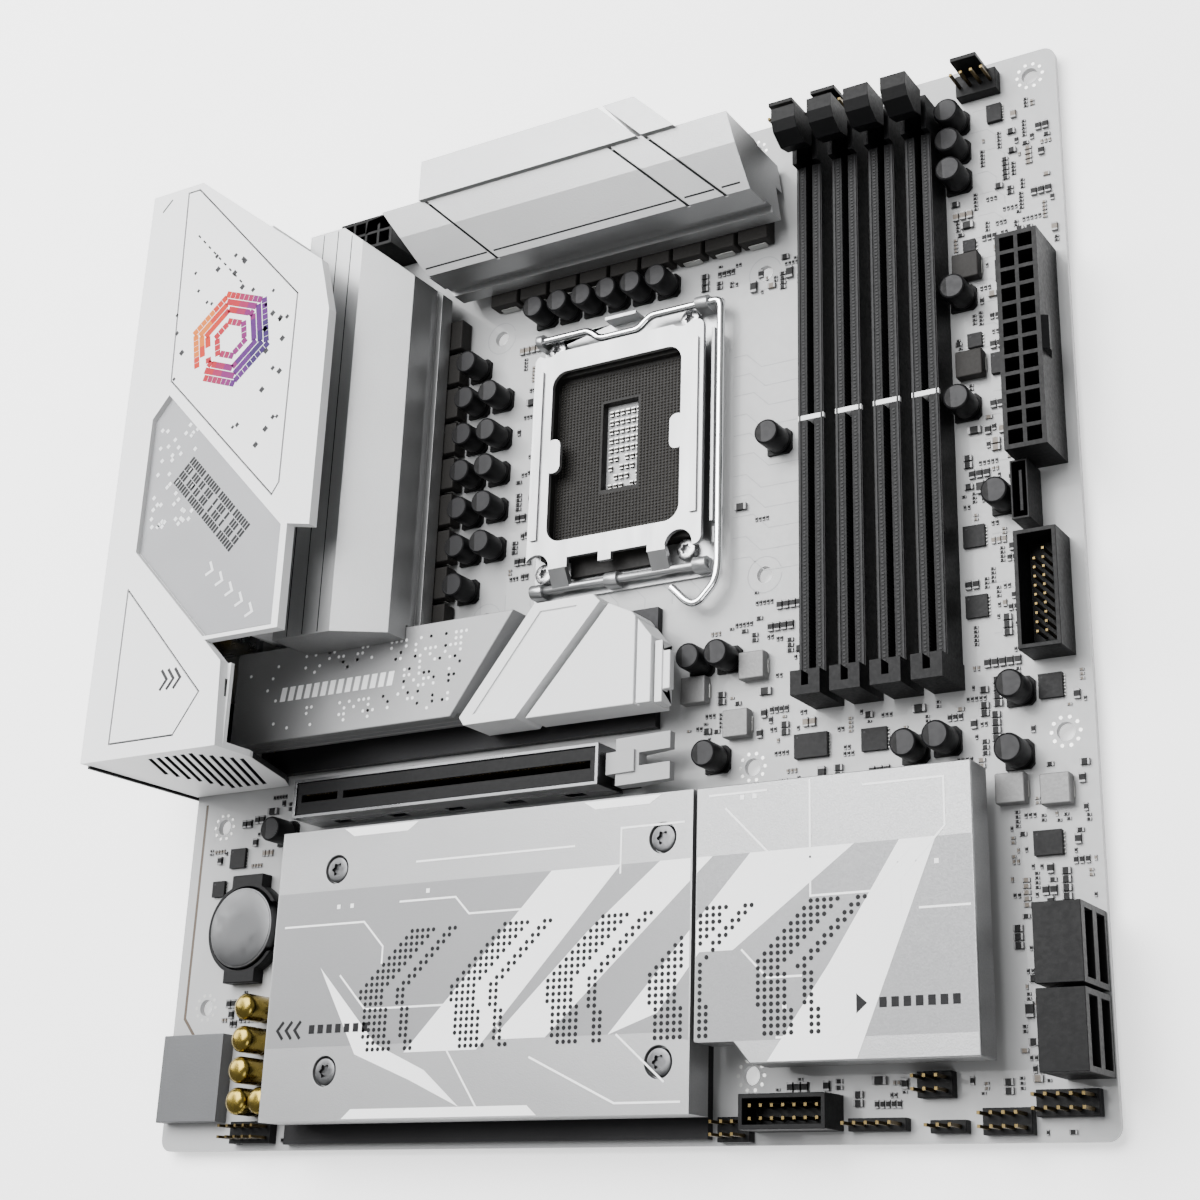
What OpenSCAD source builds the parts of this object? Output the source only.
// Micro-ATX desktop motherboard with a white rear cover, two power-stage
// heatsinks, four memory slots, an armoured graphics slot and M.2 heatsinks.
// X runs away from the rear ports, Y towards the top edge and Z off the
// component side. The origin is a mounting hole at the board's solder face.

/* [Board] */
// Board width, from the rear port edge to the power connector edge
board_w = 243.84; // [200:0.01:310]
// Board depth, from the top edge to the expansion slot edge
board_d = 243.84; // [240:0.01:310]
// Board thickness
board_t = 1.57; // [1:0.01:3]
// Corner radius of the board
corner_r = 3; // [1:0.5:6]
// Diameter of the case mounting holes
hole_d = 3.96; // [3.2:0.01:5]
// Gap between the board and the table under the longest legs
leg_drop = 2; // [1.5:0.1:3]

/* [Processor socket] */
// Spacing of the cooler mounting holes, both ways
cooler_pitch = 78; // [70:0.5:94]
// Diameter of the cooler mounting holes
cooler_hole_d = 4; // [3:0.1:5]
// Width of the load plate
load_w = 49; // [42:0.5:56]
// Length of the load plate
load_l = 58.3; // [50:0.5:66]
// Thickness of the load plate
load_t = 1.2; // [0.8:0.1:2]
// Diameter of the lever wire
lever_d = 2; // [1.5:0.1:2.6]
// Length of the lever arm
lever_l = 70; // [60:0.5:76]

/* [Memory slots] */
// Length of a memory slot
dimm_l = 143; // [120:0.5:150]
// Width of a memory slot
dimm_w = 6.5; // [6:0.1:7.2]
// Height of a memory slot
dimm_h = 8.5; // [7:0.1:11]
// Distance between memory slots
dimm_pitch = 9.4; // [8.8:0.01:12]
// Height of the latch heads above the board
latch_h = 22.5; // [18:0.5:27]

/* [Graphics slot] */
// Length of the armoured slot
pcie_l = 89; // [80:0.5:107]
// Height of the armoured slot
pcie_h = 11.2; // [10:0.1:14]

/* [Cooling] */
// Height of the power-stage heatsinks above the board
sink_h = 28.5; // [24:0.5:34]
// Height of the side face of the power-stage heatsinks
sink_face_h = 21; // [16:0.5:23]
// Height of the M.2 and chipset heatsinks above the board
plate_h = 14; // [12:0.5:17]
// Depth of the engraved lines in the heatsinks
groove_d = 0.9; // [0.3:0.1:1.5]

/* [Rear panel] */
// Height of the rear cover above the board
cover_h = 41.5; // [38:0.5:50]
// Wall of the rear cover
cover_wall = 1.6; // [1:0.1:2.4]
// Thickness of the steel rear panel
panel_t = 0.8; // [0.5:0.1:1.5]
// Diameter of the antenna posts
antenna_d = 6.35; // [5:0.05:7]
// Bore of the audio jacks
jack_bore_d = 3.6; // [3.4:0.1:4]

/* [Clearances] */
// Running clearance of pins and hinges, on the radius
run_gap = 0.05; // [0.02:0.01:0.1]
// Gap between parts that are fixed side by side
side_gap = 0.3; // [0.1:0.1:0.5]

/* [Show] */
// Which piece to draw

/* [Hidden] */
$fn = 48;
eps = 0.01;
// The origin hole, from the rear and top edges of the board
datum_x = 10.16;
datum_y = 163.83;
// Hole columns and rows, from the rear and top edges of the board
col_a = 33.02;
col_b = 165.1;
col_c = board_w - 6.35;
row_top = 6.35;
row_low = 209.55;
row_last = 229.87;
case_holes = [
    [datum_x, datum_y], [datum_x, row_low], [col_a, row_top], [col_b, row_top],
    [col_c, row_top], [col_b, datum_y], [col_c, datum_y], [col_b, row_last]
];
socket_x = 129;
socket_y = 80;
load_x = socket_x + 1.1 - load_w / 2;
load_y = socket_y + 1.85 - load_l / 2;
load_z = 5.3;
hinge_y = load_y + load_l + 4;
hinge_z = 3;
hinge_r = 1;
ilm_x0 = load_x - 0.9;
ilm_x1 = load_x + load_w + 1.8;
lever_y = load_y - 5.2;
lever_z = 4.2;
lever_x = ilm_x1 + 1.6;
crank_w = 9;
crank_out = 3.9 - lever_d / 2 + 1;
ilm_screws_xy = [
    [load_x + 3.9, load_y - 2.7], [load_x + load_w - 6.1, load_y - 2.7],
    [load_x + 2.9, load_y + load_l - 0.6], [load_x + load_w - 6.1, load_y + load_l - 0.6]
];
dimm_x = 184.2;
dimm_y = 9.5;
tower_l = 10.5;
cheek = 1.2;
latch_y = dimm_y + 4;
latch_z = 3.5;
latch_pin_r = 0.9;
pcie_x = 42.4;
pcie_y = 157;
pcie_w = 9.7;
steel = 0.8;
right = board_w;
bottom = board_d;
sink_x = 76.2;
sink_y = 30;
pad_t = 0.8;
stage_h = 1;
cap_r = 3.15;
cap_h = 8;
port_x0 = -0.3;
panel_x = port_x0 - side_gap - panel_t;
sink_screws = [[60.5, 181], [150.5, 181], [61.5, 227.5], [150.5, 228]];
standoff_h = plate_h - 8.2;

function bx(x) = x - datum_x;
function by(y) = datum_y - y;
function bz(z) = board_t + z;

// Puts children at a place measured from the rear and top edges
module at(x, y, z = 0)
    translate([bx(x), by(y), bz(z)])
        children();

// Block between two corners of the plan and two heights
module block(x0, y0, x1, y1, z0, z1)
    translate([bx(x0), by(y1), bz(z0)])
        cube([x1 - x0, y1 - y0, z1 - z0]);

// Upright prism on a plan outline
module plan(z0, z1, pts)
    translate([0, 0, bz(z0)])
        linear_extrude(z1 - z0)
            polygon([for (p = pts) [bx(p[0]), by(p[1])]]);

// Upright post
module post(x, y, z0, z1, r)
    at(x, y, z0)
        cylinder(h = z1 - z0, r = r);

// Prism with an outline in Y and Z, along X
module along_x(x0, x1, pts)
    translate([bx(x0), 0, 0])
        rotate([90, 0, 90])
            linear_extrude(x1 - x0)
                polygon([for (p = pts) [by(p[0]), bz(p[1])]]);

// Prism with an outline in X and Z, along Y
module along_y(y0, y1, pts)
    translate([0, by(y0), 0])
        rotate([90, 0, 0])
            linear_extrude(y1 - y0)
                polygon([for (p = pts) [bx(p[0]), bz(p[1])]]);

// Round bar along X
module bar_x(x0, x1, y, z, r)
    at(x0, y, z)
        rotate([0, 90, 0])
            cylinder(h = x1 - x0, r = r);

// Round bar along Y
module bar_y(y0, y1, x, z, r)
    at(x, y0, z)
        rotate([90, 0, 0])
            cylinder(h = y1 - y0, r = r);

// Outline of a bent strip of one width along a line of points, mitred
function normals(p) = [
    for (i = [0 : len(p) - 2])
        let (d = (p[i + 1] - p[i]) / norm(p[i + 1] - p[i])) [-d[1], d[0]]
];
function mitres(n) = concat(
    [n[0]],
    [for (i = [1 : 1 : len(n) - 1]) let (m = n[i - 1] + n[i]) m * 2 / (m * m)],
    [n[len(n) - 1]]
);
function strip(p, w) =
    let (m = mitres(normals(p)), e = len(p) - 1)
        concat([for (i = [0 : e]) p[i] + m[i] * w / 2],
               [for (i = [e : -1 : 0]) p[i] - m[i] * w / 2]);

module rounded_plan(x0, y0, x1, y1, r)
    translate([bx(x0), by(y1)])
        union() {
            translate([r, 0])
                square([x1 - x0 - 2 * r, y1 - y0]);
            translate([0, r])
                square([x1 - x0, y1 - y0 - 2 * r]);
            for (x = [r, x1 - x0 - r], y = [r, y1 - y0 - r])
                translate([x, y])
                    circle(r);
        }

// ---------------------------------------------------------------- board

module cooler_holes_at()
    for (sx = [-1, 1], sy = [-1, 1])
        at(socket_x + sx * cooler_pitch / 2, socket_y + sy * cooler_pitch / 2, -board_t)
            children();

module pcb()
    color("#e4e6e8")
        difference() {
            linear_extrude(board_t)
                rounded_plan(0, 0, board_w, board_d, corner_r);
            for (h = case_holes)
                at(h[0], h[1], -board_t - 1)
                    cylinder(h = board_t + 2, d = hole_d);
            cooler_holes_at()
                translate([0, 0, -1])
                    cylinder(h = board_t + 2, d = cooler_hole_d);
            for (p = ilm_screws_xy)
                post(p[0], p[1], -board_t - 1, 1, screw_hole_r);
        }

// --------------------------------------------------------------- socket

screw_hole_r = 2.4;
screw_shaft_r = 1.5;
screw_head_r = 2.7;
screw_head_h = 2;
socket_x0 = load_x + 2.8;
socket_x1 = load_x + load_w - 3.6;
socket_y0 = load_y + 4.3;
socket_y1 = load_y + load_l - 3.4;
socket_h = 4.2;
field_z = 2.4;
field_rim = 2.2;
cavity = [124, 68, 134, 91];
frame_t = 0.9;

module socket_body()
    color("#3a3531")
        difference() {
            union() {
                block(socket_x0, socket_y0, socket_x1, socket_y1, 0, socket_h);
                // ledge under the load plate's notches
                block(socket_x - 13, socket_y1 - 1, socket_x + 12.5, hinge_y - 2.4,
                      frame_t + side_gap, frame_t + 1.3);
            }
            block(socket_x0 + field_rim, socket_y0 + field_rim,
                  socket_x1 - field_rim, socket_y1 - field_rim, field_z, socket_h + 1);
            block(cavity[0], cavity[1], cavity[2], cavity[3], -1, socket_h);
        }

// Rows of spring contacts on both sides of the cavity
module socket_contacts() {
    pitch = 1.5;
    row_w = 0.7;
    x0 = socket_x0 + field_rim + 0.6;
    x1 = socket_x1 - field_rim - 0.6;
    color("#8f8273")
        for (y = [socket_y0 + field_rim + 0.8 : pitch : socket_y1 - field_rim - 1.4])
            if (y + row_w < cavity[1] - side_gap || y > cavity[3] + side_gap)
                block(x0, y, x1, y + row_w, field_z, field_z + 0.4);
            else {
                block(x0, y, cavity[0] - side_gap, y + row_w, field_z, field_z + 0.4);
                block(cavity[2] + side_gap, y, x1, y + row_w, field_z, field_z + 0.4);
            }
}

// Steel frame on the board: carries the lever at the top and the hinge below
module ilm_frame() {
    y0 = lever_y - 2.4;
    y1 = hinge_y + 2.2;
    lug = 3.4;
    color("#c9ccd0") {
        difference() {
            block(ilm_x0, y0, ilm_x1, y1, 0, frame_t);
            block(socket_x0 - side_gap, socket_y0 - side_gap,
                  socket_x1 + side_gap, socket_y1 + side_gap, -1, 2);
            for (p = ilm_screws_xy)
                post(p[0], p[1], -1, 2, screw_hole_r - 0.4);
        }
        for (x = [ilm_x0, ilm_x1 - 0.8])
            block(x, load_y + 2, x + 0.8, load_y + load_l - 6, 0, load_z - 1);
        // lever bearings
        lug_block(ilm_x0 + 0.1, 1.8, lever_y, lever_z, lever_d / 2);
        lug_block(load_x + load_w - 3.2, lug, lever_y, lever_z, lever_d / 2);
        // hinge lugs
        for (x = [load_x, socket_x - 2, load_x + load_w - lug])
            lug_block(x, lug, hinge_y, hinge_z, hinge_r);
        // keeper for the closed lever, a hook over the arm's inner side
        block(ilm_x1 - 0.8, load_y + load_l - 5, ilm_x1, load_y + load_l - 1, 0, 3);
        // stop tab behind the crank
        block(socket_x - 4, y0, socket_x + 5, y0 + 0.9, 0, lever_z + 0.6);
    }
}

module lug_block(x, w, y, z, pin_r)
    difference() {
        union() {
            block(x, y - pin_r - 0.8, x + w, y + pin_r + 0.8, 0, z);
            bar_x(x, x + w, y, z, pin_r + 0.8);
        }
        bar_x(x - 1, x + w + 1, y, z, pin_r + run_gap);
    }

// Load plate: pressed steel with a window, hinged on a rod at its lower edge
module load_plate() {
    x1 = load_x + load_w;
    y1 = load_y + load_l;
    win = [load_x + 5.6, load_y + 5.8, x1 - 6.1, y1 - 7];
    tab_y = (win[1] + win[3]) / 2;
    notch_r = screw_head_r + 1;
    color("#d5d8db") {
        difference() {
            translate([0, 0, bz(load_z)])
                linear_extrude(load_t)
                    difference() {
                        rounded_plan(load_x, load_y, x1, y1, 2);
                        rounded_plan(win[0], win[1], win[2], win[3], 4);
                    }
            for (p = ilm_screws_xy)
                post(p[0], p[1], load_z - 1, load_z + 3, notch_r);
            // notches at both sides of the middle lug
            block(socket_x - 11.5, y1 - 2.4, socket_x - 2.6, y1 + 1, load_z - 1, load_z + 3);
            block(socket_x + 1, y1 - 1.8, socket_x + 11, y1 + 1, load_z - 1, load_z + 3);
        }
        // inward pressing tabs at both sides
        for (x = [win[0] - 1, win[2] - 3])
            translate([0, 0, bz(load_z)])
                linear_extrude(load_t)
                    rounded_plan(x, tab_y - 4.5, x + 4, tab_y + 4.5, 1.8);
        // stiffening bead along both sides
        for (x = [load_x + 1.2, x1 - 3])
            block(x, load_y + 5, x + 1.8, y1 - 8, load_z + load_t, load_z + load_t + 0.6);
        // arms down to the hinge rod
        for (x = [load_x + 6.5, socket_x + 11.2])
            along_x(x, x + 4.8, [
                [y1 - 1, load_z], [y1 - 1, load_z + load_t], [y1, load_z + load_t],
                [hinge_y + 0.6, hinge_z + 0.7], [hinge_y - 0.7, hinge_z - 0.6]
            ]);
        bar_x(load_x + 0.4, x1 - 0.4, hinge_y, hinge_z, hinge_r);
    }
}

// Lever: round pivots at both sides of a crank, and an arm with a hooked handle
module load_lever() {
    r = lever_d / 2;
    flat = 0.88 * r;
    end_y = lever_y + lever_l;
    dip = lever_y + crank_out - 1;
    crank_x0 = socket_x - crank_w;
    crank_x1 = socket_x + crank_w;
    crank = [
        [crank_x0 - 1.2, lever_y], [crank_x0, lever_y], [crank_x0 + 3, dip],
        [crank_x1 - 3, dip], [crank_x1, lever_y], [crank_x1 + 1.2, lever_y]
    ];
    arm = [
        [lever_x, lever_y - 1.2 * r], [lever_x, end_y], [lever_x - 0.9, end_y + 3.2],
        [lever_x - 5.4, end_y + 7.4], [lever_x - 7.6, end_y + 7.2],
        [lever_x - 12.6, end_y + 2.2]
    ];
    color("#dcdfe2") {
        bar_x(ilm_x0 + 0.4, crank_x0 + 0.4, lever_y, lever_z, r);
        bar_x(crank_x1 - 0.4, lever_x + 0.3, lever_y, lever_z, r);
        plan(lever_z - flat, lever_z + flat, strip(crank, 1.6 * r));
        plan(lever_z - flat, lever_z + flat, strip(arm, 2 * r));
    }
}

module ilm_screws()
    color("#b9bcc0")
        for (p = ilm_screws_xy) {
            difference() {
                post(p[0], p[1], frame_t, frame_t + screw_head_h, screw_head_r);
                at(p[0], p[1], frame_t + screw_head_h - 1.2)
                    cylinder(h = 2, r = 1.3, $fn = 6);
            }
            post(p[0], p[1], -board_t - 1.4, frame_t + eps, screw_shaft_r);
        }

module socket_backplate()
    color("#2c2d30")
        difference() {
            translate([0, 0, -leg_drop])
                linear_extrude(leg_drop)
                    rounded_plan(ilm_x0 - 2, lever_y - 5, ilm_x1 + 1, hinge_y + 1, 5);
            translate([0, 0, -leg_drop - 1])
                linear_extrude(leg_drop + 2)
                    rounded_plan(socket_x - 13, socket_y - 14, socket_x + 13, socket_y + 16, 4);
            for (p = ilm_screws_xy)
                post(p[0], p[1], -board_t - leg_drop - 1, 1, screw_shaft_r + run_gap);
        }

// --------------------------------------------------------- memory slots

function slot_x(i) = dimm_x + i * dimm_pitch;
slot_groove = 1.7;
key_y = dimm_y + dimm_l * 0.53;
key_w = 1.3;
end_tower_l = 5.5;
end_tower_h = 12.5;
top_tower_h = 11;
groove_z = 2.6;

module dimm_slot(i) {
    x = slot_x(i);
    h = dimm_w / 2;
    y1 = dimm_y + dimm_l;
    body_y = dimm_y + tower_l;
    color("#1d1e20")
        difference() {
            union() {
                block(x - h, body_y, x + h, y1, 0, dimm_h);
                block(x - h - side_gap, y1 - end_tower_l, x + h + side_gap, y1, 0, end_tower_h);
                block(x - h, dimm_y, x + h, body_y + eps, 0, 0.7);
                for (s = [-1, 1])
                    block(x + (s < 0 ? -h : h - cheek), dimm_y + 1.5,
                          x + (s < 0 ? -h + cheek : h), body_y + eps, 0, top_tower_h);
            }
            block(x - slot_groove / 2, body_y - 1, x + slot_groove / 2, y1 - 2,
                  groove_z, end_tower_h + 1);
            block(x - h - 1, key_y, x + h + 1, key_y + key_w, dimm_h - 0.9, dimm_h + 1);
            bar_x(x - h - 1, x + h + 1, latch_y, latch_z, latch_pin_r + run_gap);
        }
}

module dimm_slot_1() dimm_slot(0);
module dimm_slot_2() dimm_slot(1);
module dimm_slot_3() dimm_slot(2);
module dimm_slot_4() dimm_slot(3);

// White polarising bars across the slots
module dimm_keys() {
    h = dimm_w / 2;
    color("#f1f2f3")
        for (i = [0 : 3]) {
            x = slot_x(i);
            block(x - h, key_y + 0.05, x + h, key_y + key_w - 0.05, dimm_h - 0.9, dimm_h + 0.1);
            block(x - slot_groove / 2 + 0.05, key_y + 0.05, x + slot_groove / 2 - 0.05,
                  key_y + key_w - 0.05, groove_z, dimm_h - 0.8);
        }
}

// Latch with a wide thumb head, turning on two stub pins
module dimm_latch(i) {
    x = slot_x(i);
    w = dimm_w - 2 * cheek - 0.2;
    head_z = latch_h - 9;
    color("#161719") {
        along_x(x - w / 2, x + w / 2, [
            [latch_y - 2.2, 1.6], [latch_y + 2, 1.6], [latch_y + 2.4, head_z + 1],
            [latch_y - 1.8, head_z + 1]
        ]);
        along_x(x - dimm_w / 2 + 0.1, x + dimm_w / 2 - 0.1, [
            [latch_y - 2.4, head_z], [latch_y + 4.6, head_z], [latch_y + 5.6, head_z + 4],
            [latch_y + 3.4, latch_h - 1.2], [latch_y + 1, latch_h], [latch_y - 2.4, latch_h]
        ]);
        bar_x(x - dimm_w / 2, x + dimm_w / 2, latch_y, latch_z, latch_pin_r);
    }
}

module dimm_latch_1() dimm_latch(0);
module dimm_latch_2() dimm_latch(1);
module dimm_latch_3() dimm_latch(2);
module dimm_latch_4() dimm_latch(3);

// ----------------------------------------------------- power connectors

cell = 4.2;
cell_open = 3.3;
power_h = 12.9;
cell_floor = 3;
atx_x = right - 12.14;
atx_y = 53.5;
eps_x = 42.5;
eps_y = 1.2;
shell = 0.6;

function cells(x, y, nx, ny) = [
    for (i = [0 : nx - 1], j = [0 : ny - 1])
        [x + shell + (i + 0.5) * cell, y + shell + (j + 0.5) * cell]
];

module power_socket(x, y, nx, ny)
    difference() {
        block(x, y, x + nx * cell + 2 * shell, y + ny * cell + 2 * shell, 0, power_h);
        for (c = cells(x, y, nx, ny))
            block(c[0] - cell_open / 2, c[1] - cell_open / 2,
                  c[0] + cell_open / 2, c[1] + cell_open / 2, cell_floor, power_h + 1);
    }

module atx_power_socket() {
    x1 = atx_x + 2 * cell + 2 * shell;
    mid = atx_y + shell + 6 * cell;
    color("#141517") {
        power_socket(atx_x, atx_y, 2, 12);
        along_y(mid - 4, mid + 4, [
            [x1 - eps, power_h - 6], [x1 + 1.4, power_h - 2], [x1 + 1.4, power_h - 1],
            [x1 - eps, power_h]
        ]);
    }
}

module eps_power_socket()
    color("#141517")
        power_socket(eps_x, eps_y, 4, 2);

// ------------------------------------------------------------- headers

fan_xy = [[172.6, 0.8], [184, 0.8], [right - 23.6, 3.2]];
fan_l = 10;
fan_h = 11;
// Headers at the lower edge: x, distance from the lower edge, columns, rows, shroud
pin_pitch = 2.54;
low_headers = [
    [158.4, 5.6, 3, 2, 0], [167.6, 8.6, 7, 2, 1], [188.4, 4.9, 5, 1, 0],
    [206.2, 4.3, 3, 1, 0], [217.2, 6.4, 4, 2, 0], [right - 15.6, 9.6, 5, 2, 0],
    [203.6, 13.6, 3, 2, 0], [24.2, 6.6, 5, 2, 0]
];
pin_side = 0.64;
front_usb = [right - 12.6, 122, 9.4, 26];
front_y = 105.8;

module fan_headers()
    color("#17181a")
        for (p = fan_xy) {
            block(p[0], p[1], p[0] + fan_l, p[1] + 5.8, 0, 3.2);
            block(p[0] + 1.8, p[1], p[0] + fan_l - 1.8, p[1] + 1.1, 3.2 - eps, fan_h);
        }

// Header rows and the shrouded front panel connectors
module pin_headers()
    color("#1b1c1e") {
        for (h = low_headers) {
            y = bottom - h[1];
            w = h[2] * pin_pitch;
            d = h[3] * pin_pitch;
            block(h[0], y, h[0] + w, y + d, 0, 2.5);
            if (h[4] == 1)
                difference() {
                    block(h[0] - 1, y - 1, h[0] + w + 1, y + d + 1, 0, 8.8);
                    block(h[0], y, h[0] + w, y + d, -1, 10);
                }
        }
        difference() {
            block(front_usb[0], front_usb[1], front_usb[0] + front_usb[2],
                  front_usb[1] + front_usb[3], 0, 9);
            block(front_usb[0] + 1, front_usb[1] + 1, front_usb[0] + front_usb[2] - 1,
                  front_usb[1] + front_usb[3] - 1, 1.6, 10);
        }
        // vertical front socket with its tongue
        difference() {
            block(right - 12.8, front_y, right - 8.8, front_y + 13.4, 0, 8.4);
            block(right - 12.3, front_y + 0.5, right - 9.3, front_y + 12.9, 1.4, 9);
        }
        block(right - 11.2, front_y + 2, right - 10.4, front_y + 11.4, 1.3, 7.4);
    }

module pin(x, y, z0, z1, s)
    block(x - s / 2, y - s / 2, x + s / 2, y + s / 2, z0, z1);

// All square contact pins of the upright connectors
module connector_pins()
    color("#c8a24a") {
        for (c = concat(cells(atx_x, atx_y, 2, 12), cells(eps_x, eps_y, 4, 2)))
            pin(c[0], c[1], cell_floor, power_h - 5, 1.1);
        for (h = low_headers, i = [0 : h[2] - 1], j = [0 : h[3] - 1])
            pin(h[0] + (i + 0.5) * pin_pitch, bottom - h[1] + (j + 0.5) * pin_pitch,
                2.5, 8, pin_side);
        for (p = fan_xy, i = [0 : 3])
            pin(p[0] + 1.2 + i * pin_pitch, p[1] + 3.4, 3.2, 9.5, pin_side);
        for (i = [0 : 1], j = [0 : 9])
            if (i + j > 0)
                pin(front_usb[0] + 3.7 + i * 2, front_usb[1] + 4 + j * 2, 1.6, 7, 0.5);
    }

// -------------------------------------------------------------- cooling

// Outline of a heatsink's side face with its long groove
function sink_face(u) = [
    [u, sink_face_h], [u, sink_face_h - 8], [u - 1.2, sink_face_h - 8],
    [u - 1.2, sink_face_h - 11.5], [u + 0.6, sink_face_h - 11.5], [u + 0.6, 5]
];

// Outline across a heatsink: top, face and foot, all lowered by d
function left_profile(d) = concat(
    [[46, 14], [46, sink_h - d], [sink_x - 12.2, sink_h - d]],
    [for (p = sink_face(sink_x)) [p[0], min(p[1], sink_face_h - d)]],
    [[69, 5], [69, stage_h + pad_t], [60, stage_h + pad_t], [60, 5], [54, 14]]
);

module vrm_heatsink_left()
    color("#d9dbde")
        difference() {
            intersection() {
                along_y(10, 126, left_profile(0));
                plan(0, sink_h + 1, [
                    [44, 13.2], [57.3, 13.2], [sink_x + 1, 29.4], [sink_x + 1, 126], [44, 126]
                ]);
            }
            // undercut over the M.2 heatsink
            block(40, top_y0 - 0.4, 90, 130, 0, plate_h + side_gap);
        }

function top_profile(d) = concat(
    [[12, 14], [12, sink_h - d], [sink_y - 10.5, sink_h - 2.5 - d]],
    [for (p = sink_face(sink_y)) [p[0], min(p[1], sink_face_h - d)]],
    [[21, 5], [21, stage_h + pad_t], [13, stage_h + pad_t], [13, 12]]
);

// Part of the top heatsink between two slanted cuts, given by their two ends
module top_band(a0, a1, b0, b1, d)
    intersection() {
        along_x(60, 180, top_profile(d));
        plan(0, sink_h + 2, [[a0, 11], [b0, 11], [b1, 31.5], [a1, 31.5]]);
    }

module vrm_heatsink_top() {
    lean = 21.5;
    g = 0.9;
    color("#d3d5d8") {
        top_band(69, 81, 172, 175, groove_d);
        top_band(69, 81.7, 81.8, 81.8 + lean, 0);
        top_band(81.8 + g, 81.8 + g + lean, 137.5, 137.5 + lean, 0);
        top_band(137.5 + g, 137.5 + g + lean, 147.8, 147.8 + lean, 0);
        top_band(147.8 + g, 147.8 + g + lean, 172, 175, 0);
        // raised body behind the slope
        plan(14, sink_h + 1.3, [[82.5, 1], [136.6, 1], [148, 12.5], [82.5, 12.5]]);
        plan(14, sink_h + 1.3, [[138, 1], [147, 1], [158.5, 12.5], [149.4, 12.5]]);
    }
}

module thermal_pads() {
    color("#9fb4c4") {
        block(61, 34, 68, 122, stage_h, stage_h + pad_t);
        block(88, 14, 166, 20, stage_h, stage_h + pad_t);
        block(183, 188, 197, 202, 1.4, 1.4 + pad_t);
        block(50, 196, 130, 214, plate_h - 9, plate_h - 9 + pad_t);
        block(34, 126, 96, 142, 4.2, 5);
    }
}

module power_stages() {
    color("#232427") {
        for (i = [0 : 9])
            block(61.5, 35 + i * 8.8, 67.5, 41 + i * 8.8, 0, stage_h);
        for (i = [0 : 8])
            block(89 + i * 8.6, 14.2, 94.5 + i * 8.6, 19.8, 0, stage_h);
    }
}

module power_chokes() {
    color("#55524e") {
        for (i = [0 : 8])
            block(71, 35 + i * 9.9, 80.2, 43.4 + i * 9.9, 0, 4.6);
        for (i = [0 : 8])
            block(89 + i * 9.2, 24, 97.2 + i * 9.2, 33.8, 0, 4.6);
        for (p = [[166, 141], [162, 154], [151, 145], [right - 18, 175], [right - 8.4, 176],
                  [right - 23.2, 53.4], [right - 23.2, 78]])
            block(p[0] - 3.3, p[1] - 3.3, p[0] + 3.3, p[1] + 3.3, 0, 3);
    }
}

caps_xy = concat(
    [for (y = [59.5, 70.3, 80, 90, 100.6]) [91.9, y]],
    [for (i = [0 : 6]) [84.4, 49.6 + i * 10.2]],
    [for (i = [0 : 5]) [104.6 + i * 7.3, 38.4]],
    [for (p = [[24.6, 14.5], [24.6, 22.3], [24.6, 30.1], [24.6, 60.6], [24.6, 87.9],
               [16.8, 111.4], [15.4, 154.4], [16.3, 167.8]])
        [right - p[0], p[1]]],
    [[172.2, 86.9], [152.2, 138.4], [159.4, 138.4], [156.6, 161.4],
     [204.5, 164.2], [211.8, 163.3], [32.5, 167.5]]
);

module solid_capacitors()
    color("#2a2a2c")
        for (p = caps_xy)
            post(p[0], p[1], 0, cap_h, cap_r);

// ----------------------------------------------------------- rear cover

cover_y0 = -5;
cover_y1 = 155;
rim_t = 2.8;
cover_outline = [
    [-1, cover_y0], [17, cover_y0], [62, 30], [66, 45], [66, 103], [59, 101.6],
    [59, 128], [36, 128], [42, 134], [43, cover_y1], [-1, cover_y1]
];
plate_outline = [[9, 64], [14, 58], [57, 101.5], [57, 127], [35.2, 127], [9, 101]];
plate_mid = [33, 97];

// Moulded cover: a flat top with a sunk panel, an inner side wall and a vented end
// Slanted vents in the end wall: the first ones are short, the middle ones reach lowest
vent_n = 11;
vent_w = 1.35;
vent_pitch = 2.62;
vent_lean = 0.55;
vent_mid_z = 24;
function vent(i) =
    let (x = 10.5 + i * vent_pitch,
         low = max(4.5, vent_mid_z - 0.5 - 3.2 * i),
         high = cover_h - rim_t - 0.9 - 1.9 * max(0, i - 5),
         x_low = x + vent_lean * (low - vent_mid_z),
         x_high = x + vent_lean * (high - vent_mid_z))
    [[x_low, low], [x_high, high], [x_high + vent_w, high], [x_low + vent_w, low]];

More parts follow.
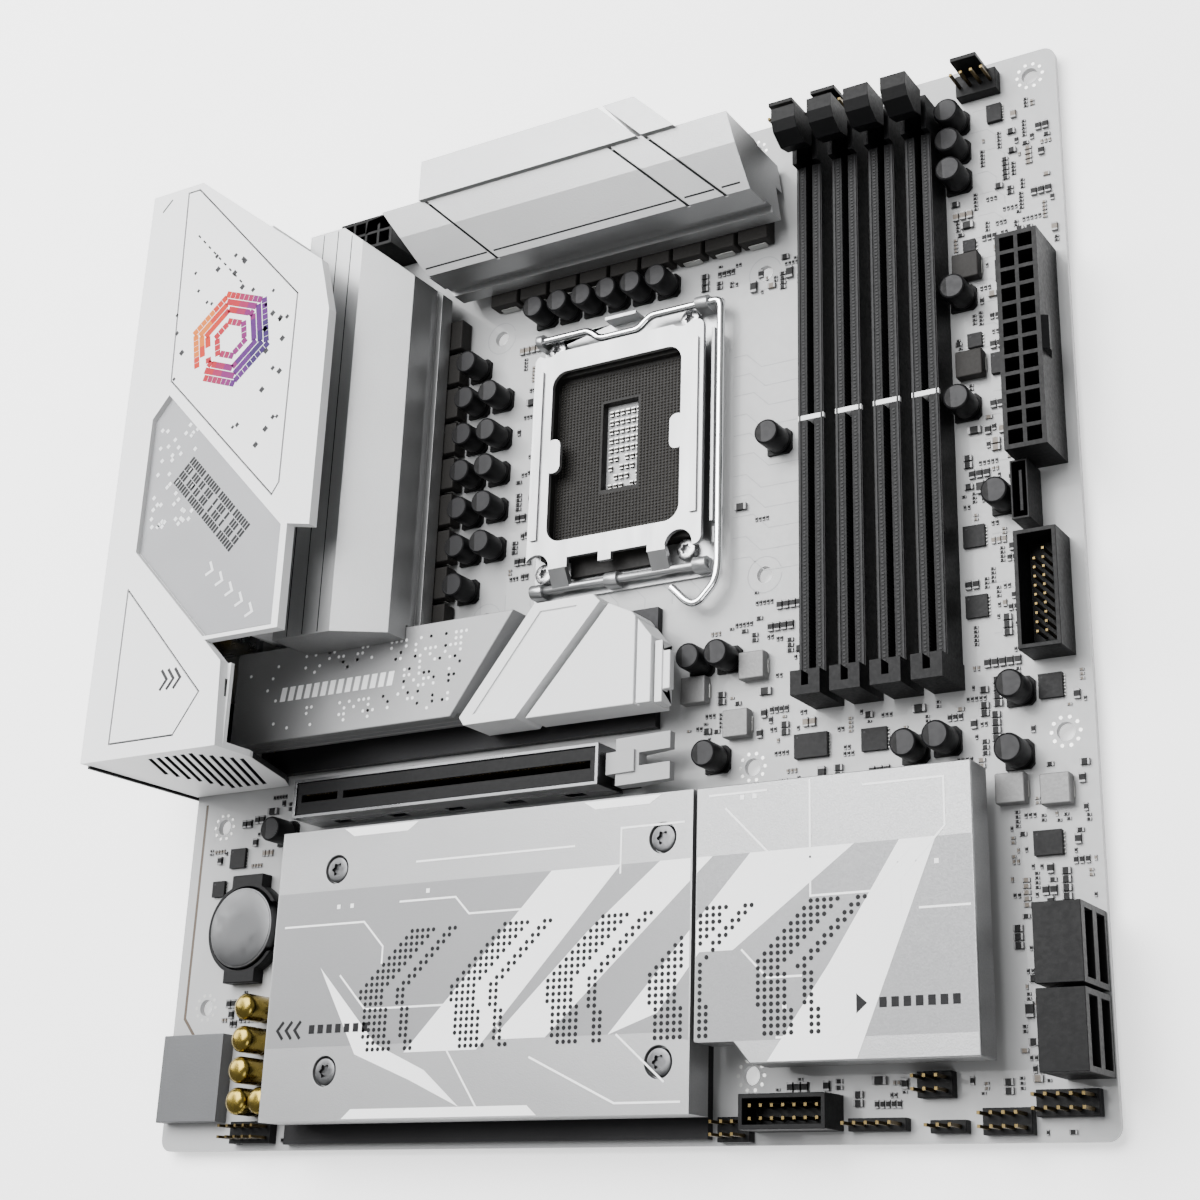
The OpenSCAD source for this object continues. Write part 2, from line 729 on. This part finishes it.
module io_cover() {
    z1 = cover_h - rim_t;
    w = cover_wall;
    color("#f2f3f4") {
        difference() {
            plan(z1, cover_h, cover_outline);
            plan(z1 + 1.2, cover_h + 1, plate_outline);
            plan(z1 - 1, cover_h + 1, [[16, 68], [50, 102], [50, 120], [38, 120], [16, 98]]);
            engraved();
        }
        // rear wall, top wall and inner side wall
        block(-0.1, cover_y0 + 1, -0.1 + w, cover_y1, lan_h + 2, z1 + eps);
        block(-0.1, cover_y0 + 1, 17, cover_y0 + 1 + w, 18, z1 + eps);
        plan(sink_h + 2, z1 + eps, [[17, cover_y0 + 1], [40, 13.4], [40, 15.4], [17, cover_y0 + 3]]);
        block(40, 13.4, 40 + w, 121, plate_h, z1 + eps);
        // screw posts down to the board
        for (y = [20, 117])
            post(30, y, 0, z1 + eps, 2.6);
        // vented end wall
        difference() {
            along_y(cover_y1 - w, cover_y1, [
                [-0.1, 0.4], [-0.1, z1 + eps], [43, z1 + eps], [43, 29], [34.5, 6], [31, 0.4]
            ]);
            for (i = [0 : vent_n - 1])
                along_y(cover_y1 - w - 1, cover_y1 + 1, vent(i));
        }
        block(41.4, 134, 43, cover_y1, z1 - 1.2, z1 + eps);
    }
}

// Thin lines cut round the upper and lower panels
module engraved() {
    d = 0.35;
    w = 0.5;
    z = cover_h - d;
    upper = [[12, -3], [16, -3], [55, 38], [55, 90], [53, 93], [14, 54]];
    lower = [[8, 111], [36, 141], [29, 151], [8, 151]];
    for (p = [upper, lower], i = [0 : len(p) - 1]) {
        a = p[i];
        b = p[(i + 1) % len(p)];
        v = [b[0] - a[0], b[1] - a[1]];
        at(a[0], a[1], z)
            rotate([0, 0, atan2(-v[1], v[0])])
                translate([-w / 2, -w / 2, 0])
                    cube([norm(v) + w, w, d + 1]);
    }
}

module io_cover_plate()
    color("#b9bcc0")
        plan(cover_h - rim_t + 1.2, cover_h - 1,
             [for (p = plate_outline) plate_mid + 0.985 * (p - plate_mid)]);

// ----------------------------------------------------------- rear ports

// Each port: y centre, width, height above the board, depth
usb_y = [49, 66, 110];
usb_w = 14.6;
usb_h = 15.4;
lan_y = 87;
lan_w = 16.2;
lan_h = 28.6;
display_y = 30;
display_w = 16.4;
display_h = 13.6;
jack_y = [136.6, 147.6];
jack_z = 7;
antenna_y = 123.4;
antenna_z = [9, 24];
button_y = 10;
button_z = [8, 20];
button_r = 2.2;
rj_z = 17.5;
rj_h = 8.2;
rj_w = 12;

module io_shield()
    color("#26272a")
        difference() {
            block(panel_x, -4, panel_x + panel_t, cover_y1 + 0.6,
                  -board_t - leg_drop, cover_h - rim_t - 0.2);
            for (y = usb_y)
                block(panel_x - 1, y - usb_w / 2 + 0.6, 1, y + usb_w / 2 - 0.6, 0.9, usb_h - 0.7);
            block(panel_x - 1, lan_y - lan_w / 2 + 0.6, 1, lan_y + lan_w / 2 - 0.6,
                  0.9, lan_h - 0.7);
            block(panel_x - 1, display_y - display_w / 2 + 0.4, 1,
                  display_y + display_w / 2 - 0.4, 0.8, display_h - 0.5);
            for (y = jack_y)
                panel_hole(y, jack_z, 4.3);
            for (z = antenna_z)
                panel_hole(antenna_y, z, antenna_d / 2 + side_gap);
            for (z = button_z)
                panel_hole(button_y, z, button_r + 0.2);
        }

module panel_hole(y, z, r)
    bar_x(panel_x - 1, 1, y, z, r);

// Stacked USB sockets in plated shells, with their tongues
module usb_ports() {
    l = 17.5;
    color("#b4b7bb")
        for (y = usb_y) {
            difference() {
                block(port_x0, y - usb_w / 2, port_x0 + l, y + usb_w / 2, 0, usb_h);
                for (z = [1.4, 8.4])
                    block(port_x0 - 1, y - 6.3, port_x0 + 13, y + 6.3, z, z + 5.4);
            }
            for (z = [1.4, 8.4])
                block(port_x0 + 1.2, y - 5.4, port_x0 + 13.5, y + 5.4, z + 3.1, z + 4.7);
        }
}

module display_ports() {
    l = 15;
    color("#a9acb0")
        difference() {
            block(port_x0, display_y - display_w / 2, port_x0 + l,
                  display_y + display_w / 2, 0, display_h);
            block(port_x0 - 1, display_y - 7.2, port_x0 + 8, display_y + 7.2, 1.4, 5.8);
            block(port_x0 - 1, display_y - 7.2, port_x0 + 8, display_y + 7.2, 7.6, 12.4);
        }
}

// Network socket over a USB pair
module lan_port() {
    l = 21;
    color("#b4b7bb")
        difference() {
            block(port_x0, lan_y - lan_w / 2, port_x0 + l, lan_y + lan_w / 2, 0, lan_h);
            block(port_x0 - 1, lan_y - rj_w / 2, port_x0 + 14, lan_y + rj_w / 2,
                  rj_z, rj_z + rj_h);
            for (z = [1.4, 8.4])
                block(port_x0 - 1, lan_y - 6.3, port_x0 + 13, lan_y + 6.3, z, z + 5.4);
        }
}

module audio_jacks() {
    l = 12;
    color("#202124")
        for (y = jack_y)
            difference() {
                union() {
                    block(port_x0, y - 5, port_x0 + l, y + 5, 0, 12.5);
                    bar_x(panel_x - 1, port_x0 + eps, y, jack_z, 3.9);
                }
                bar_x(panel_x - 2, port_x0 + 10.5, y, jack_z, jack_bore_d / 2);
            }
}

module antenna_connectors() {
    neck_r = 2.8;
    color("#c9a64e")
        for (z = antenna_z)
            difference() {
                union() {
                    bar_x(panel_x - 8.4, panel_x - 0.1, antenna_y, z, antenna_d / 2);
                    // neck through the panel
                    bar_x(panel_x - 0.2, port_x0 + eps, antenna_y, z, neck_r);
                    block(port_x0, antenna_y - 4, port_x0 + 6, antenna_y + 4, z - 4, z + 4);
                }
                bar_x(panel_x - 9, panel_x - 2, antenna_y, z, 2.2);
            }
    color("#c9a64e")
        block(port_x0 + 2, antenna_y - 3, port_x0 + 6, antenna_y + 3, 0, 28);
}

button_gap = 0.1;
button_x = 4.2;

module rear_button(z)
    bar_x(panel_x - 0.9, port_x0 + button_x, button_y, z, button_r);

module flash_button()
    color("#3b3d42")
        rear_button(button_z[0]);

module clear_cmos_button()
    color("#3b3d42")
        rear_button(button_z[1]);

// Moulding that guides both rear buttons and holds their switches
module button_housings()
    color("#26272a")
        difference() {
            block(port_x0, button_y - 4, port_x0 + 8.5, button_y + 4, 0, 25);
            for (z = button_z)
                bar_x(port_x0 - 1, port_x0 + button_x + 1.2, button_y, z, button_r + button_gap);
        }

// -------------------------------------------------------- graphics slot

module pcie_slot() {
    x0 = pcie_x + steel + 0.1;
    x1 = pcie_x + pcie_l - steel - 0.1;
    y0 = pcie_y + steel + 0.1;
    y1 = pcie_y + pcie_w - steel - 0.1;
    mid = (y0 + y1) / 2;
    key_x = x0 + 12.6;
    color("#18191b")
        difference() {
            union() {
                block(x0, y0, x1, y1, 0, pcie_h - 0.4);
                // ears and pin that carry the latch
                for (y = [y0, y1 - ear_w])
                    block(x1 - eps, y, pcie_pivot_x + 1.6, y + ear_w, 0, 4.8);
                bar_y(y0 + 0.2, y1 - 0.2, pcie_pivot_x, pcie_pivot_z, 0.9);
            }
            block(x0 + 1.4, mid - 0.9, key_x, mid + 0.9, 3.2, pcie_h);
            block(key_x + 1.8, mid - 0.9, x1 - 1.4, mid + 0.9, 3.2, pcie_h);
        }
}

// Steel sleeve round the slot
module pcie_armor() {
    x1 = pcie_x + pcie_l;
    y1 = pcie_y + pcie_w;
    color("#6f7276")
        difference() {
            block(pcie_x, pcie_y, x1, y1, 0, pcie_h);
            block(pcie_x + steel, pcie_y + steel, x1 - steel, y1 - steel, -1, pcie_h + 1);
            block(x1 - steel - 1, pcie_y + steel, x1 + 1, y1 - steel, -1, 5.2);
            for (i = [0 : 4])
                block(pcie_x + 8 + i * 17, y1 - steel - 1, pcie_x + 13 + i * 17, y1 + 1, 2, 5);
        }
}

pcie_pivot_x = pcie_x + pcie_l + 3.4;
pcie_pivot_z = 3;
ear_w = 1.3;

// Forked release latch at the end of the slot
module pcie_latch() {
    x0 = pcie_x + pcie_l + 1;
    x1 = x0 + 17.5;
    y0 = pcie_y - 0.8;
    y1 = pcie_y + pcie_w + 0.4;
    mid = (y0 + y1) / 2;
    color("#cfd1d3")
        difference() {
            union() {
                along_y(pcie_y + steel + ear_w + 0.2, pcie_y + pcie_w - steel - ear_w - 0.2, [
                    [x0, 1], [x0, 9.4], [x0 + 8, 10.4], [x0 + 8, 6], [x0 + 4.4, 1]
                ]);
                along_y(y0, y1, [
                    [x0 + 2.5, 6], [x0 + 2.5, 9.2], [x1, 10.6], [x1, 8.4], [x0 + 8, 6]
                ]);
            }
            block(x0 + 9, mid - 1.5, x1 + 1, mid + 1.5, 0, 12);
            bar_y(y0 - 1, y1 + 1, pcie_pivot_x, pcie_pivot_z, 0.9 + run_gap);
        }
}

// ------------------------------------------------------- M.2 and chipset

top_y0 = 122.6;
top_y1 = 147;
seat_z = 5;

module m2_top_heatsink()
    color("#bfc1c4")
        difference() {
            plan(seat_z, plate_h, [[22, top_y0], [108, top_y0], [91, top_y1], [22, top_y1]]);
            block(21, top_y1 - 1.2, 110, top_y1 + 1, seat_z + 1.5, plate_h - 2);
        }

module m2_top_bar()
    color("#eff0f1")
        difference() {
            plan(4.2, plate_h + 1.2, [
                [114.6, top_y0], [131, top_y0], [133, 124.6], [110.6, 150], [96, 150], [94.6, 148]
            ]);
            plan(plate_h + 0.8, plate_h + 2, [
                [116.4, 124.8], [126.6, 124.8], [106, 147.6], [98.6, 147.6]
            ]);
        }

module m2_top_end_cap()
    color("#eceded") {
        plan(seat_z, plate_h, [[134.6, 125], [141, 128], [142, 129.2], [142, 150], [112.6, 150]]);
        plan(seat_z, plate_h, [[142.6, 129.8], [146.4, 134.5], [146.4, 150], [142.6, 150]]);
        plan(seat_z, plate_h - 2, [[141, 130], [144, 132], [144, 150], [141, 150]]);
    }

module m2_release_latch()
    color("#dfe0e1") {
        block(146.8, 135.5, 148.8, 150, cap_h + 0.4, plate_h - 1);
        block(146.8, 138, 150.6, 147, plate_h - 3.4, plate_h - 1.4);
    }

low_x0 = 43;
low_x1 = 158;
low_y0 = 171;
low_y1 = 238.5;
base_t = 2.2;
top_standoffs = [[26, 126], [98, 126.2], [26, 144], [138, 146.4]];

module m2_lower_heatsink()
    color("#c6c8ca")
        difference() {
            block(low_x0, low_y0, low_x1, low_y1, plate_h - 8.2, plate_h);
            block(low_x0 + 3, low_y0 + 3, low_x1 - 3, low_y1 - 3,
                  plate_h - 9, plate_h - 8.2);
            for (p = sink_screws) {
                post(p[0], p[1], plate_h - 1.6, plate_h + 1, 3.4);
                post(p[0], p[1], 0, plate_h + 1, 1.6);
            }
        }

// Dark cooling plates under the drives, which reach out past the heatsinks' front edges
module m2_base_plate()
    color("#4a4c4f") {
        difference() {
            block(low_x0 - 2, low_y0 + 2, low_x1 - 2, bottom - 1.2, 0, base_t);
            for (p = sink_screws)
                post(p[0], p[1], -1, base_t + 1, 3);
            for (y = [180, 206])
                block(138, y, 148, y + 23, -1, base_t + 1);
        }
        difference() {
            block(22.4, top_y0 + 0.8, 141, top_y1 + 5.4, 0, base_t);
            for (p = top_standoffs)
                post(p[0], p[1], -1, base_t + 1, 2.3);
            block(119.4, 123.9, 128.6, 147.1, -1, base_t + 1);
        }
    }

module m2_screws()
    color("#9da0a3")
        for (p = sink_screws) {
            difference() {
                post(p[0], p[1], plate_h - 1.6, plate_h - 0.2, 3.1);
                at(p[0], p[1], plate_h - 0.9)
                    cylinder(h = 2, r = 1.2, $fn = 6);
            }
            post(p[0], p[1], standoff_h - 3, plate_h - 1.6 + eps, 1.2);
        }

module m2_standoffs()
    color("#c9a64e") {
        for (p = top_standoffs)
            post(p[0], p[1], 0, seat_z, 1.8);
        for (p = sink_screws)
            difference() {
                post(p[0], p[1], 0, standoff_h, 2.3);
                post(p[0], p[1], standoff_h - 4, standoff_h + 1, 1.2 + run_gap);
            }
    }

module m2_sockets()
    color("#1a1b1d")
        for (p = [[139, 180.6], [139, 206.6], [120, 124.5]])
            difference() {
                block(p[0], p[1], p[0] + 8, p[1] + 22, 0, 4.2);
                block(p[0] - 1, p[1] + 1, p[0] + 5.5, p[1] + 21, 1.6, 2.8);
            }

module chipset_heatsink()
    color("#c6c8ca") {
        plan(plate_h - 8.6, plate_h, [
            [low_x1 + 0.8, low_y0], [222, low_y0], [222, 229], [172, 229], [168, 224.4],
            [low_x1 + 0.8, 224.4]
        ]);
        block(182, 187, 198, 203, 1.4 + pad_t, plate_h - 8.6 + eps);
    }

// ---------------------------------------------------------- small parts

// Packaged chips: x, y, width, depth, height
chip_list = [
    [178, 183, 24, 24, 0.9], [176, 158, 8, 5.4, 1.4], [192, 158.4, 6, 5, 1],
    [right - 26.8, 116, 5, 5, 1], [right - 26.8, 132, 5, 5, 1],
    [right - 11.4, 151.4, 5.2, 5.2, 1.2], [right - 24.2, 46, 3, 3, 1],
    [right - 24, 70, 3.4, 3.4, 1], [right - 16.6, 53, 2.8, 5.4, 1.2],
    [right - 18.6, 76, 3, 5, 1.2], [right - 17, 12, 3.6, 4.6, 1.2],
    [14, 170, 5, 5, 1], [9, 178, 4, 4, 1], [right - 14, 184, 6, 5, 1.4]
];

module chips()
    color("#1f2023") {
        for (c = chip_list)
            block(c[0], c[1], c[0] + c[2], c[1] + c[3], 0, c[4]);
        // die on the large chip's carrier
        block(184, 189, 196, 201, 0.9 - eps, 1.4);
        // capacitor rows in the socket cavity
        for (i = [0 : 2], j = [0 : 6])
            block(125.2 + i * 3, 69.4 + j * 3, 127 + i * 3, 70.4 + j * 3, 0, 0.8);
        // resistor rows beside the memory slots
        for (i = [0 : 3], j = [0 : 7])
            block(right - 21 + i * 2.6, 17 + j * 3.4 + i * 0.7,
                  right - 19.8 + i * 2.6, 17.6 + j * 3.4 + i * 0.7, 0, 0.5);
        for (j = [0 : 17])
            block(223.6, 186 + j * 2.6, 225.2, 187 + j * 2.6, 0, 0.6);
    }

battery_x = 23;
battery_y = 191;
battery_r = 10;

module battery()
    color("#c4c7ca") {
        post(battery_x, battery_y, 1.3, 4.1, battery_r);
        post(battery_x, battery_y, 4.1 - eps, 4.5, battery_r - 0.7);
    }

module battery_holder()
    color("#1a1b1d") {
        difference() {
            union() {
                post(battery_x, battery_y, 0, 1.3, battery_r + 1.4);
                post(battery_x, battery_y, 0, 3.6, battery_r + 1.4);
                block(battery_x - 5, battery_y - 13.4, battery_x + 5, battery_y + 13.4, 0, 3.6);
            }
            post(battery_x, battery_y, 1.3, 6, battery_r + side_gap);
            block(battery_x + 4, battery_y - 6, battery_x + 14, battery_y + 6, 1.3, 6);
        }
    }

audio_cap_xy = [[30.3, 211], [30.3, 218.6], [30.3, 225.8], [30.3, 233], [37.2, 233]];

module audio_capacitors()
    color("#c7a349")
        for (p = audio_cap_xy)
            post(p[0], p[1], 0, 9.5, 3.2);

module audio_shield()
    color("#8f9296")
        difference() {
            block(1, 216.5, 20.5, 237.3, 0, 4);
            block(1.5, 217, 20, 236.8, -1, 3.5);
        }

// Right-angled drive ports, two blocks of two
sata_h = 15.5;
sata_z = [1.6, 8.8];

module sata_ports()
    color("#141517")
        for (y = [200.8, 217]) {
            x0 = right - 10;
            x1 = right - 0.2;
            difference() {
                block(x0, y, x1, y + 15.4, 0, sata_h);
                for (z = sata_z)
                    block(x1 - 7, y + 1.2, x1 + 1, y + 14.2, z, z + 4.6);
            }
            for (z = sata_z)
                block(x1 - 7.5, y + 3, x1 - 1, y + 12, z + 1.6, z + 2.8);
        }

// --------------------------------------------------------- solder side

leg_r = 1.1;

// Longest legs and posts, which the bare board stands on
module support_legs()
    color("#b9bcbf")
        for (p = [[atx_x + 2, atx_y - 3], [atx_x + 2, atx_y + 56], [eps_x + 4, eps_y + 14],
                  [right - 9, 193], [right - 9, 231], [34.4, 226], [120, bottom - 4],
                  [200, bottom - 9], [right - 20, 8], [pcie_x - 4, 172], [10, 140]])
            at(p[0], p[1], -board_t - leg_drop)
                cylinder(h = leg_drop, r = leg_r);

module joint(x, y)
    at(x, y, -board_t - 1.3)
        cylinder(h = 1.3, r1 = 0.35, r2 = 0.9, $fn = 16);

// Rows of soldered pins under the through-hole connectors
module solder_joints()
    color("#cfd2d5") {
        for (c = concat(cells(atx_x, atx_y, 2, 12), cells(eps_x, eps_y, 4, 2)))
            joint(c[0], c[1]);
        for (i = [0 : 39], j = [0, 1])
            joint(pcie_x + 4 + i * 2.05, pcie_y + 2.4 + j * 4.6);
        for (y = usb_y, i = [0 : 3], j = [0 : 1])
            joint(6 + j * 4, y - 4.5 + i * 3);
        for (i = [0 : 4], j = [0 : 1])
            joint(6 + j * 5, lan_y - 5 + i * 2.5);
        for (p = audio_cap_xy, s = [-1, 1])
            joint(p[0] + s * 1.3, p[1]);
        for (h = low_headers, i = [0 : h[2] - 1], j = [0 : h[3] - 1])
            joint(h[0] + (i + 0.5) * pin_pitch, bottom - h[1] + (j + 0.5) * pin_pitch);
    }

// ---------------------------------------------------------------- draw

pcb();
socket_body();
socket_contacts();
ilm_frame();
load_plate();
load_lever();
ilm_screws();
socket_backplate();
dimm_slot_1();
dimm_slot_2();
dimm_slot_3();
dimm_slot_4();
dimm_keys();
dimm_latch_1();
dimm_latch_2();
dimm_latch_3();
dimm_latch_4();
atx_power_socket();
eps_power_socket();
fan_headers();
connector_pins();
vrm_heatsink_left();
vrm_heatsink_top();
thermal_pads();
power_stages();
power_chokes();
solid_capacitors();
io_cover();
io_cover_plate();
io_shield();
usb_ports();
display_ports();
lan_port();
audio_jacks();
antenna_connectors();
flash_button();
clear_cmos_button();
button_housings();
pcie_slot();
pcie_armor();
pcie_latch();
m2_top_heatsink();
m2_top_bar();
m2_top_end_cap();
m2_release_latch();
m2_lower_heatsink();
m2_base_plate();
m2_screws();
m2_standoffs();
m2_sockets();
chipset_heatsink();
chips();
battery();
battery_holder();
audio_capacitors();
audio_shield();
sata_ports();
pin_headers();
support_legs();
solder_joints();
